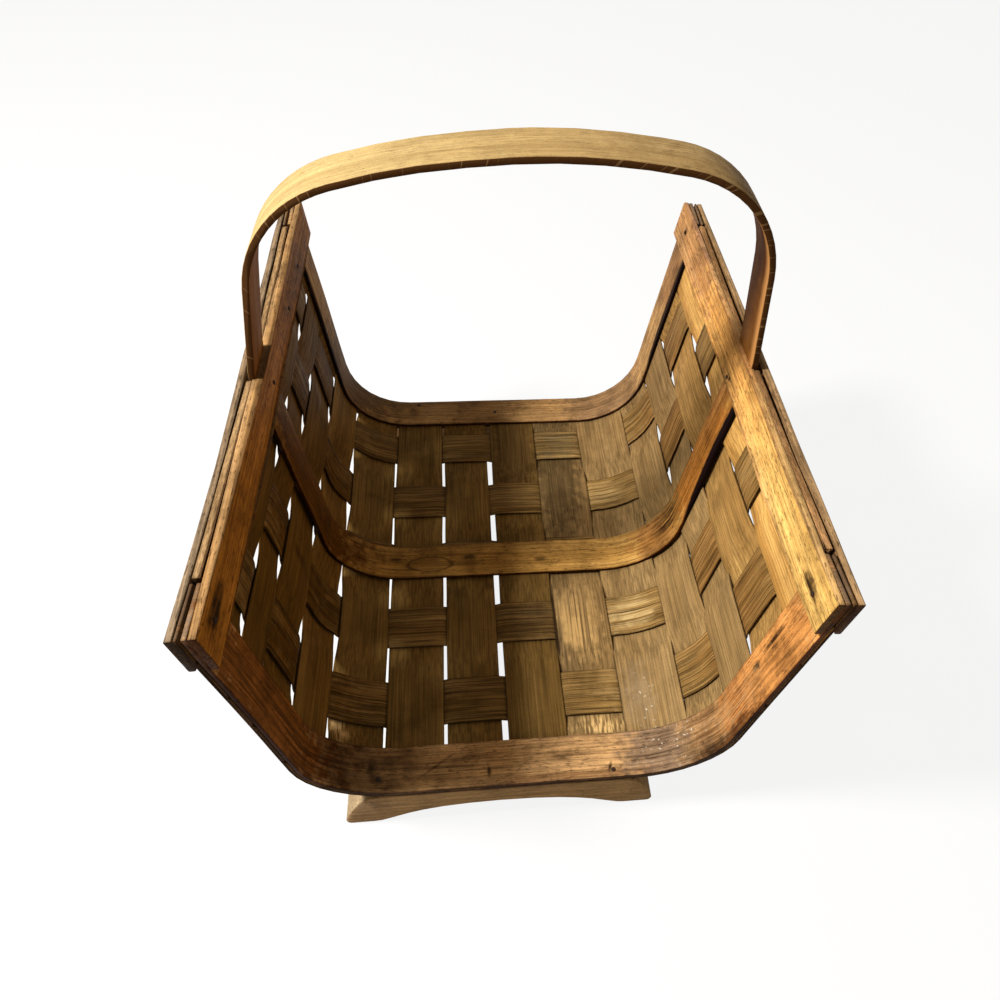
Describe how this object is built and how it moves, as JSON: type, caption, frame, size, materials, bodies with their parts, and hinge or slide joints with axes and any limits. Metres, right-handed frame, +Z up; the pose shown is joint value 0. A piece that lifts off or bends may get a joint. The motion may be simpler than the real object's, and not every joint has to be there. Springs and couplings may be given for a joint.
{
  "type": "woven splint magazine basket",
  "caption": "Open-ended trough basket of woven oak splints on bent hoops, with rim rails, a bent carrying handle and arched feet, for holding magazines or newspapers.",
  "frame": {"origin": "on the ground, under the middle of the basket", "axes": "+X to the right across the basket, +Y from the front end to the rear end along the splints, +Z up"},
  "size_m": [0.2994, 0.343, 0.3531],
  "materials": {
    "splint": "aged oiled oak splint, dull",
    "hoop": "aged oiled oak, reddish brown",
    "rail": "aged oiled oak, warm brown",
    "filler": "bare weathered oak, grey brown",
    "handle": "hand-worn oak, golden tan",
    "foot": "sawn oak, pale brown",
    "nail": "dark iron nail"
  },
  "bodies": {
    "root": {"length_splint_01": "splint", "length_splint_02": "splint", "length_splint_03": "splint", "length_splint_04": "splint", "length_splint_05": "splint", "length_splint_06": "splint", "length_splint_07": "splint", "length_splint_08": "splint", "length_splint_09": "splint", "length_splint_10": "splint", "length_splint_11": "splint", "length_splint_12": "splint", "length_splint_13": "splint", "length_splint_14": "splint", "cross_splint_1": "splint", "cross_splint_2": "splint", "cross_splint_3": "splint", "cross_splint_4": "splint", "cross_splint_5": "splint", "front_inner_hoop": "hoop", "front_outer_hoop": "hoop", "middle_hoop": "hoop", "rear_inner_hoop": "hoop", "rear_outer_hoop": "hoop", "left_inner_rail": "rail", "right_inner_rail": "rail", "left_outer_rail": "rail", "right_outer_rail": "rail", "left_front_filler": "filler", "left_rear_filler": "filler", "right_front_filler": "filler", "right_rear_filler": "filler", "carrying_handle": "handle", "front_foot": "foot", "rear_foot": "foot"}
  },
  "joints": []
}
